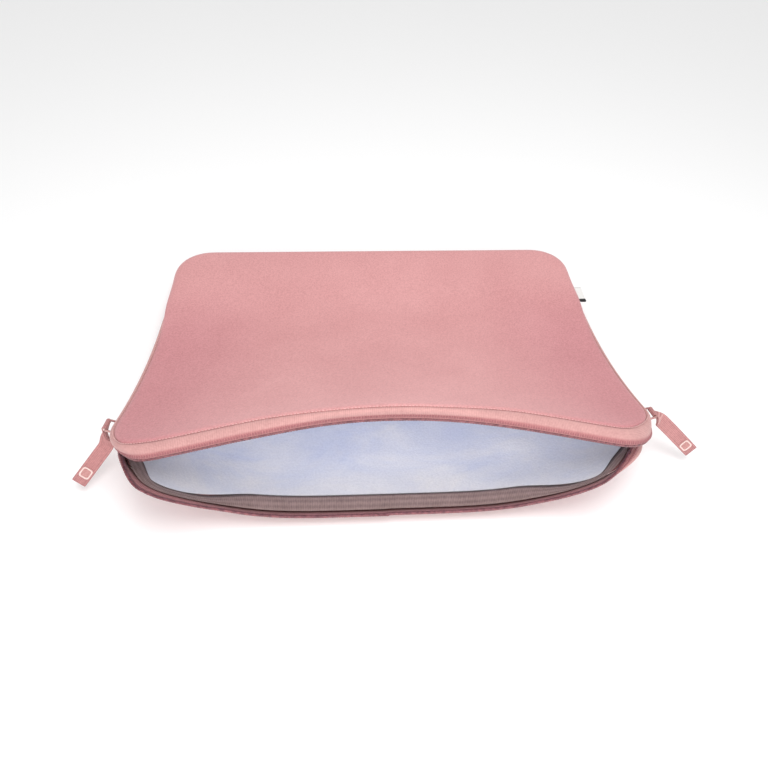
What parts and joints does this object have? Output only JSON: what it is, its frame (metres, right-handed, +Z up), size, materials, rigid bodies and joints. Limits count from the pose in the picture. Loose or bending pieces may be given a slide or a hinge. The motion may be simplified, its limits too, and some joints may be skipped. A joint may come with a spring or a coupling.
{
  "type": "laptop sleeve",
  "caption": "Soft padded laptop sleeve with a two-way zip round three sides, propped open, webbing pulls and a plush lining.",
  "frame": {"origin": "on the table under the middle of the sleeve (zip sides, mouth seam to back fold)", "axes": "X across the sleeve, -Y towards the open mouth, +Z up from the table it lies on"},
  "size_m": [0.4184, 0.2457, 0.1087],
  "materials": {
    "outer_knit": "fine dusty-pink knit",
    "foam": "matte memory foam",
    "fleece": "short lavender plush",
    "zip_tape": "woven pink tape",
    "zip_coil": "dark pink nylon coil",
    "grosgrain": "ribbed brown band",
    "painted_hardware": "pink enamelled zinc",
    "webbing": "pink webbing",
    "grip_rubber": "pale moulded rubber",
    "label_cloth": "woven off-white label"
  },
  "bodies": {
    "sleeve": {"upper_panel_skin": "outer_knit", "upper_panel_foam": "foam", "upper_panel_lining": "fleece", "lower_panel_skin": "outer_knit", "lower_panel_foam": "foam", "lower_panel_lining": "fleece", "back_fold_skin": "outer_knit", "back_fold_foam": "foam", "back_fold_lining": "fleece", "upper_tape_left": "zip_tape", "upper_tape_right": "zip_tape", "lower_tape": "zip_tape", "upper_coil_left": "zip_coil", "upper_coil_right": "zip_coil", "lower_coil": "zip_coil", "upper_band_left": "grosgrain", "upper_band_right": "grosgrain", "lower_band": "grosgrain", "end_stop_left": "zip_coil", "end_stop_right": "zip_coil", "side_tab_left": "webbing", "side_tab_right": "webbing", "side_label": "label_cloth"},
    "upper_lip": {"upper_lip_skin": "outer_knit", "upper_lip_foam": "foam", "upper_lip_lining": "fleece", "upper_lip_tape": "zip_tape", "upper_lip_coil": "zip_coil", "upper_lip_band": "grosgrain"},
    "zip_slider_left": {"slider_left": "painted_hardware"},
    "ring_left": {"pull_ring_left": "painted_hardware"},
    "strap_left": {"pull_strap_left": "webbing", "pull_patch_left": "grip_rubber"},
    "zip_slider_right": {"slider_right": "painted_hardware"},
    "ring_right": {"pull_ring_right": "painted_hardware"},
    "strap_right": {"pull_strap_right": "webbing", "pull_patch_right": "grip_rubber"}
  },
  "joints": [
    {"name": "upper_lip_flex", "type": "hinge", "parent": "sleeve", "child": "upper_lip", "pos_m": [0, -0.064, 0.0823], "axis": [-1, 0, 0], "range_deg": [0, 20]},
    {"name": "slider_run_right", "type": "hinge", "parent": "sleeve", "child": "zip_slider_right", "pos_m": [0.1655, 0.06, 0.39877], "axis": [1, 0, 0], "range_deg": [0, 21.32]},
    {"name": "ring_swing_right", "type": "hinge", "parent": "zip_slider_right", "child": "ring_right", "pos_m": [0.1692, -0.08, 0.0401], "axis": [0, -0.9315, 0.3636], "range_deg": [-12, 30]},
    {"name": "strap_swing_right", "type": "hinge", "parent": "ring_right", "child": "strap_right", "pos_m": [0.17719, -0.07894, 0.04281], "axis": [0, -0.9315, 0.3636], "range_deg": [0, 80.01]},
    {"name": "slider_run_left", "type": "hinge", "parent": "sleeve", "child": "zip_slider_left", "pos_m": [-0.1655, 0.06, 0.39877], "axis": [1, 0, 0], "range_deg": [0, 21.32]},
    {"name": "ring_swing_left", "type": "hinge", "parent": "zip_slider_left", "child": "ring_left", "pos_m": [-0.1692, -0.08, 0.0401], "axis": [0, 0.9315, -0.3636], "range_deg": [-12, 30]},
    {"name": "strap_swing_left", "type": "hinge", "parent": "ring_left", "child": "strap_left", "pos_m": [-0.17719, -0.07894, 0.04281], "axis": [0, 0.9315, -0.3636], "range_deg": [0, 80.01]}
  ],
  "couplings": [
    {"joint": "strap_swing_left", "follows": "slider_run_left", "ratio": 3.752},
    {"joint": "strap_swing_right", "follows": "slider_run_right", "ratio": 3.752}
  ]
}
